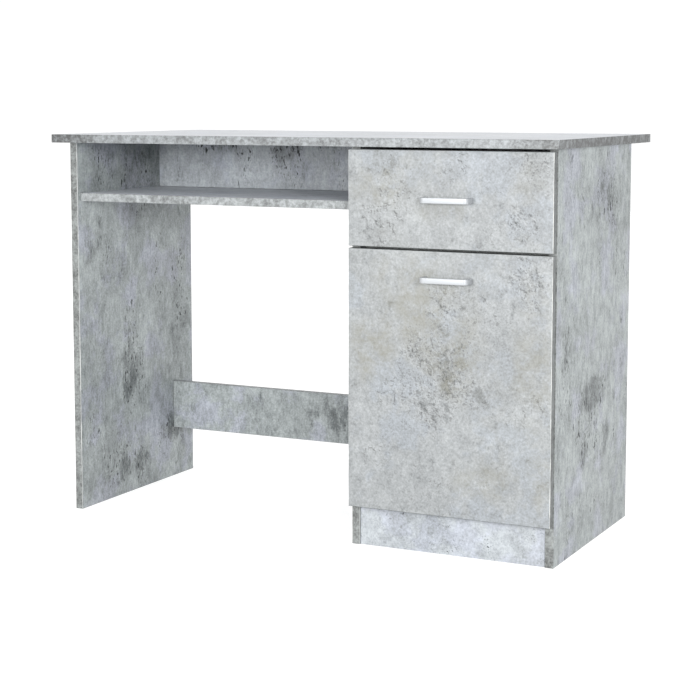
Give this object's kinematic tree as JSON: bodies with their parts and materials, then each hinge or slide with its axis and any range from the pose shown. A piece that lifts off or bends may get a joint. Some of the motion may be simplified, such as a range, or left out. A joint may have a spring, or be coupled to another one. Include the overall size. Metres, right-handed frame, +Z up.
{
  "type": "writing desk",
  "caption": "Free-standing writing desk: flat top on a plain side panel and a pedestal with a roller-runner drawer and a hinged door, an open shelf and a low rear rail.",
  "frame": {"origin": "on the floor, under the middle of the desk's bounding box, handles included", "axes": "+X to the right along the desktop's length when facing the drawer, +Y away from the person towards the rear edge, +Z up"},
  "size_m": [1.04, 0.5432, 0.75],
  "materials": {
    "top_concrete": "melamine-faced chipboard with a light concrete print, satin",
    "board_concrete": "melamine-faced chipboard with a streaked grey concrete print, satin",
    "front_concrete": "melamine-faced chipboard with a warm cloudy concrete print, satin",
    "drawer_board": "plain grey melamine-faced chipboard",
    "hardboard": "brown hardboard, bare at the back",
    "handle_aluminium": "bright satin",
    "zinc_steel": "zinc plated",
    "nickel_steel": "nickel plated, soft gloss",
    "white_steel": "white powder coat",
    "white_nylon": "moulded nylon"
  },
  "bodies": {
    "cabinet": {"bottom_board": "board_concrete", "cabinet_runner_left": "white_steel", "cabinet_runner_right": "white_steel", "desktop": "top_concrete", "divider_board": "board_concrete", "inner_shelf": "board_concrete", "left_side_panel": "board_concrete", "lower_hinge_arm": "nickel_steel", "lower_hinge_plate": "nickel_steel", "lower_rail": "board_concrete", "lower_rail_left_bolt": "zinc_steel", "lower_rail_left_cam": "zinc_steel", "lower_rail_right_bolt": "zinc_steel", "lower_rail_right_cam": "zinc_steel", "open_shelf": "board_concrete", "open_shelf_front_left_bolt": "zinc_steel", "open_shelf_front_left_cam": "zinc_steel", "open_shelf_front_right_bolt": "zinc_steel", "open_shelf_front_right_cam": "zinc_steel", "open_shelf_rear_left_bolt": "zinc_steel", "open_shelf_rear_left_cam": "zinc_steel", "open_shelf_rear_right_bolt": "zinc_steel", "open_shelf_rear_right_cam": "zinc_steel", "pedestal_back_panel": "hardboard", "pedestal_left_panel": "board_concrete", "pedestal_right_panel": "board_concrete", "plinth_board": "board_concrete", "shelf_pin_front_left": "nickel_steel", "shelf_pin_front_right": "nickel_steel", "shelf_pin_rear_left": "nickel_steel", "shelf_pin_rear_right": "nickel_steel", "upper_back_left_bolt": "zinc_steel", "upper_back_left_cam": "zinc_steel", "upper_back_panel": "board_concrete", "upper_back_right_bolt": "zinc_steel", "upper_back_right_cam": "zinc_steel", "upper_hinge_arm": "nickel_steel", "upper_hinge_plate": "nickel_steel"},
    "drawer": {"drawer_front": "front_concrete", "drawer_left_side": "drawer_board", "drawer_right_side": "drawer_board", "drawer_back": "drawer_board", "drawer_bottom": "hardboard", "drawer_runner_left": "white_steel", "drawer_runner_right": "white_steel", "drawer_handle": "handle_aluminium", "drawer_handle_screw_left": "zinc_steel", "drawer_handle_screw_right": "zinc_steel"},
    "door": {"door": "front_concrete", "door_handle": "handle_aluminium", "door_handle_screw_left": "zinc_steel", "door_handle_screw_right": "zinc_steel", "upper_hinge_cup": "nickel_steel", "lower_hinge_cup": "nickel_steel"},
    "front_roller_left": {"front_roller_left": "white_nylon"},
    "front_roller_right": {"front_roller_right": "white_nylon"},
    "rear_roller_left": {"rear_roller_left": "white_nylon"},
    "rear_roller_right": {"rear_roller_right": "white_nylon"},
    "upper_hinge_link": {"upper_hinge_link": "nickel_steel"},
    "lower_hinge_link": {"lower_hinge_link": "nickel_steel"}
  },
  "joints": [
    {"name": "drawer_slide", "type": "slide", "parent": "cabinet", "child": "drawer", "axis": [0, -1, 0], "range_m": [0, 0.26]},
    {"name": "door_hinge", "type": "hinge", "parent": "cabinet", "child": "door", "pos_m": [0.5, -0.24535, 0.313], "axis": [0, 0, 1], "range_deg": [0, 100]},
    {"name": "front_roller_left_spin", "type": "hinge", "parent": "cabinet", "child": "front_roller_left", "pos_m": [0.1342, -0.21435, 0.5905], "axis": [1, 0, 0], "range_deg": [0, 1664]},
    {"name": "front_roller_right_spin", "type": "hinge", "parent": "cabinet", "child": "front_roller_right", "pos_m": [0.4838, -0.21435, 0.5905], "axis": [1, 0, 0], "range_deg": [0, 1664]},
    {"name": "rear_roller_left_spin", "type": "hinge", "parent": "drawer", "child": "rear_roller_left", "pos_m": [0.1363, 0.10795, 0.583], "axis": [1, 0, 0], "range_deg": [0, 1664]},
    {"name": "rear_roller_right_spin", "type": "hinge", "parent": "drawer", "child": "rear_roller_right", "pos_m": [0.4817, 0.10795, 0.583], "axis": [1, 0, 0], "range_deg": [0, 1664]},
    {"name": "upper_hinge_link_turn", "type": "hinge", "parent": "cabinet", "child": "upper_hinge_link", "pos_m": [0.46997, -0.23688, 0.471], "axis": [0, 0, 1], "range_deg": [-59, 0]},
    {"name": "lower_hinge_link_turn", "type": "hinge", "parent": "cabinet", "child": "lower_hinge_link", "pos_m": [0.46997, -0.23688, 0.155], "axis": [0, 0, 1], "range_deg": [-59, 0]}
  ],
  "couplings": [
    {"joint": "front_roller_left_spin", "follows": "drawer_slide", "rad_per_m": 111.11},
    {"joint": "front_roller_right_spin", "follows": "drawer_slide", "rad_per_m": 111.11},
    {"joint": "rear_roller_left_spin", "follows": "drawer_slide", "rad_per_m": 111.11},
    {"joint": "rear_roller_right_spin", "follows": "drawer_slide", "rad_per_m": 111.11},
    {"joint": "upper_hinge_link_turn", "follows": "door_hinge", "ratio": -0.5706},
    {"joint": "lower_hinge_link_turn", "follows": "door_hinge", "ratio": -0.5706}
  ]
}
